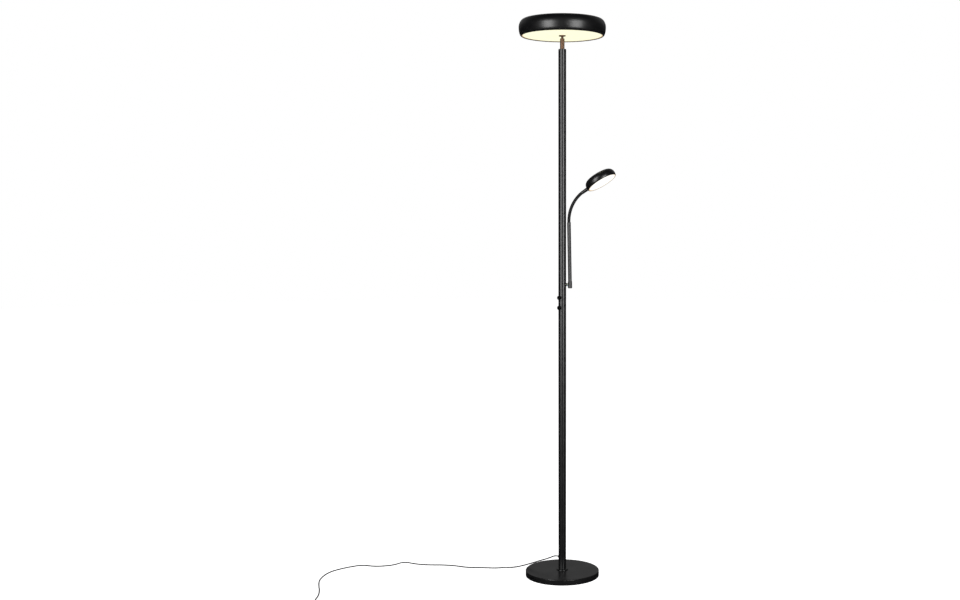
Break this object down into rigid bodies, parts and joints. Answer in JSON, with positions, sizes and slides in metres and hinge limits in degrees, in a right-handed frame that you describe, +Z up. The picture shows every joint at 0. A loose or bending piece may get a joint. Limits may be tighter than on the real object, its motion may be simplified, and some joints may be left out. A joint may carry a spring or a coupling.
{
  "type": "torchiere floor lamp",
  "caption": "Floor lamp with a round glowing head on a slim pole, a weighted round base, rotary dimmers, and a side arm with a flexible neck and a small round reading head.",
  "frame": {"origin": "middle of the foot pad's underside, on the pole's axis, where the lamp stands on the floor", "axes": "+Z up the pole; the viewer's side is -Y, the reading arm is on the +X side"},
  "size_m": [0.9551, 0.5489, 1.8],
  "materials": {
    "black_paint": "satin black powder coat",
    "dark_nickel": "black nickel plate with a bronze cast",
    "black_conduit": "black coated wound steel conduit",
    "knob_metal": "satin black turned knob with spun face",
    "cast_iron": "rough grey casting",
    "zinc_steel": "zinc plated",
    "bare_aluminium": "satin",
    "circuit_board": "white solder mask",
    "led_package": "yellow phosphor",
    "opal_acrylic": "opal, glowing warm white",
    "nylon": "natural",
    "felt": "black felt",
    "cord_jacket": "black flexible jacket",
    "rubber": "black moulded",
    "tie_band": "black band",
    "adapter_plastic": "fine-textured black",
    "nickel_pins": "nickel plated brass"
  },
  "bodies": {
    "stand": {"base_cover": "black_paint", "base_weight": "cast_iron", "foot_pad": "felt", "base_stud": "zinc_steel", "base_nut": "zinc_steel", "foot_collar": "black_paint", "pole_foot_insert": "zinc_steel", "pole_section_1": "black_paint", "pole_section_2": "black_paint", "pole_section_3": "black_paint", "pole_section_4": "black_paint", "pole_couplers": "zinc_steel", "pole_top_cap": "black_paint", "neck_housing": "dark_nickel", "neck_spring": "zinc_steel", "cord_grommet": "rubber", "pole_wiring": "cord_jacket", "dimmer_pots": "zinc_steel", "dimmer_nuts": "zinc_steel", "arm_stub": "black_paint", "arm_stub_nut": "zinc_steel", "friction_washer": "nylon", "cord_lead": "cord_jacket", "cord_coil": "cord_jacket", "cord_tail": "cord_jacket", "cord_tie": "tie_band", "adapter_case_lower": "adapter_plastic", "adapter_case_upper": "adapter_plastic", "adapter_pins": "nickel_pins", "adapter_relief": "rubber"},
    "ball_seat": {"neck_seat": "nylon"},
    "head": {"ball_stem": "dark_nickel", "head_shell": "black_paint", "bottom_diffuser": "opal_acrylic", "top_diffuser": "opal_acrylic", "led_plate": "bare_aluminium", "led_boards": "circuit_board", "head_leds": "led_package", "hub_spacer": "bare_aluminium", "hub_nut": "zinc_steel", "head_screws": "zinc_steel"},
    "dial_upper": {"knob_upper": "knob_metal", "dial_shaft_upper": "zinc_steel"},
    "dial_lower": {"knob_lower": "knob_metal", "dial_shaft_lower": "zinc_steel"},
    "arm": {"arm_hub": "black_paint", "arm_tube": "black_paint", "arm_ferrule": "black_paint", "hose_root": "black_conduit"},
    "hose_1": {"hose_link_1": "black_conduit"},
    "hose_2": {"hose_link_2": "black_conduit"},
    "hose_3": {"hose_link_3": "black_conduit"},
    "hose_4": {"hose_link_4": "black_conduit"},
    "reading_head": {"hose_end": "black_conduit", "reading_sleeve": "black_paint", "sleeve_nut": "zinc_steel", "reading_shell": "black_paint", "reading_diffuser": "opal_acrylic", "reading_board": "circuit_board", "reading_leds": "led_package"}
  },
  "joints": [
    {"name": "head_swivel", "type": "hinge", "parent": "stand", "child": "ball_seat", "pos_m": [0, 0, 1.7375], "axis": [0, 0, 1], "range_deg": [-170, 170]},
    {"name": "head_tilt", "type": "hinge", "parent": "ball_seat", "child": "head", "pos_m": [0, 0, 1.7375], "axis": [1, 0, 0], "range_deg": [-20, 20]},
    {"name": "upper_dial_turn", "type": "hinge", "parent": "stand", "child": "dial_upper", "pos_m": [0, 0, 0.9126], "axis": [0.6626, 0.749, 0], "range_deg": [0, 270]},
    {"name": "lower_dial_turn", "type": "hinge", "parent": "stand", "child": "dial_lower", "pos_m": [0, 0, 0.8803], "axis": [0.6626, 0.749, 0], "range_deg": [0, 270]},
    {"name": "arm_swing", "type": "hinge", "parent": "stand", "child": "arm", "pos_m": [0.02494, -0.0111, 0.955], "axis": [0.9135, -0.4067, 0], "range_deg": [-90, 90]},
    {"name": "hose_bend_1", "type": "hinge", "parent": "arm", "child": "hose_1", "pos_m": [0.02162, -0.00962, 1.16901], "axis": [0.4067, 0.9135, 0], "range_deg": [-13, 20]},
    {"name": "hose_sway_2", "type": "hinge", "parent": "hose_1", "child": "hose_2", "pos_m": [0.02546, -0.01134, 1.1915], "axis": [0.8761, -0.3901, -0.2833], "range_deg": [-22, 22]},
    {"name": "hose_bend_3", "type": "hinge", "parent": "hose_2", "child": "hose_3", "pos_m": [0.0334, -0.01487, 1.21267], "axis": [0.4067, 0.9135, 0], "range_deg": [-13, 20]},
    {"name": "hose_sway_4", "type": "hinge", "parent": "hose_3", "child": "hose_4", "pos_m": [0.0451, -0.02008, 1.23163], "axis": [0.7007, -0.312, -0.6416], "range_deg": [-22, 22]},
    {"name": "hose_bend_5", "type": "hinge", "parent": "hose_4", "child": "reading_head", "pos_m": [0.06008, -0.02675, 1.24759], "axis": [0.4067, 0.9135, 0], "range_deg": [-13, 20]}
  ]
}
